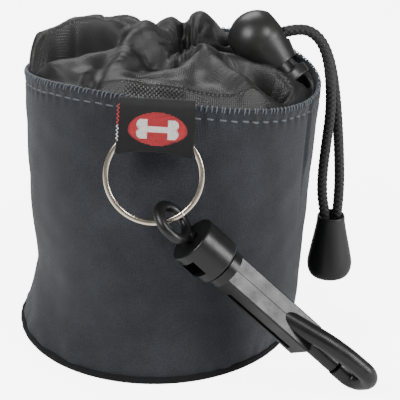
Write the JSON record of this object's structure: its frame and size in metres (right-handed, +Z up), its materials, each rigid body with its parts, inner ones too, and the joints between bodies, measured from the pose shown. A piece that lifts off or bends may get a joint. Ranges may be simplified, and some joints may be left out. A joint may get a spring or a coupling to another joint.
{
  "type": "treat pouch",
  "caption": "Small round drawstring treat pouch with a gathered collar, ball cord lock, split ring and swivel bolt snap.",
  "frame": {"origin": "middle of the round base, on its resting face", "axes": "+Z up, -Y to the front where the ribbon tab and the snap hang, +X to the side where the cord hangs"},
  "size_m": [0.0896, 0.0805, 0.0827],
  "materials": {
    "wall_fabric": "matte slate woven polyester",
    "lining_fabric": "smooth coated nylon",
    "base_fabric": "coarse black canvas",
    "binding_tape": "folded black tape",
    "stiffener_board": "plain board",
    "collar_nylon": "grid weave nylon with sheen",
    "cord_braid": "braided polyester cord",
    "lock_plastic": "satin moulded plastic",
    "bell_plastic": "soft matte plastic",
    "spring_steel": "bright wire",
    "tab_ribbon": "woven ribbon",
    "ring_nickel": "polished nickel plate",
    "snap_plastic": "satin acetal"
  },
  "bodies": {
    "pouch": {"outer_wall": "wall_fabric", "lining_tube": "lining_fabric", "lining_base": "lining_fabric", "base_panel": "base_fabric", "base_binding": "binding_tape", "base_stiffener": "stiffener_board", "collar": "collar_nylon", "drawstring": "cord_braid", "drawstring_tail_rear": "cord_braid", "drawstring_tail_front": "cord_braid", "cord_knot": "cord_braid", "lock_body": "lock_plastic", "lock_spring": "spring_steel", "cord_bell": "bell_plastic", "bell_plug": "bell_plastic"},
    "plunger": {"lock_plunger": "lock_plastic"},
    "tab": {"label_loop": "tab_ribbon"},
    "ring": {"split_ring": "ring_nickel"},
    "eye": {"swivel_eye": "snap_plastic"},
    "hook": {"hook_body": "snap_plastic", "gate_spring": "spring_steel"},
    "bolt": {"gate_bolt": "snap_plastic"}
  },
  "joints": [
    {"name": "plunger_push", "type": "slide", "parent": "pouch", "child": "plunger", "axis": [-0.6201, 0.346, 0.7041], "range_m": [0, 0.0022], "stiffness_N_per_m": 600, "springref_m": -0.0015, "deforming": ["lock_spring"]},
    {"name": "tab_swing", "type": "hinge", "parent": "pouch", "child": "tab", "pos_m": [0.00095, -0.03351, 0.07272], "axis": [-1, 0, 0], "range_deg": [0, 80]},
    {"name": "ring_spin", "type": "hinge", "parent": "tab", "child": "ring", "pos_m": [0.00095, -0.0371, 0.05775], "axis": [0, -0.9724, 0.2334], "range_deg": [-70, 20]},
    {"name": "eye_swing", "type": "hinge", "parent": "ring", "child": "eye", "pos_m": [0.00466, -0.03954, 0.04758], "axis": [-0.829, -0.1305, -0.5438], "range_deg": [0, 100]},
    {"name": "hook_swivel", "type": "hinge", "parent": "eye", "child": "hook", "pos_m": [0.00535, -0.0395, 0.04686], "axis": [0.6944, 0.0461, -0.7181], "continuous": true},
    {"name": "gate_slide", "type": "slide", "parent": "hook", "child": "bolt", "axis": [-0.6944, -0.0461, 0.7181], "range_m": [0, 0.0082], "stiffness_N_per_m": 150, "springref_m": -0.004, "deforming": ["gate_spring"]}
  ]
}
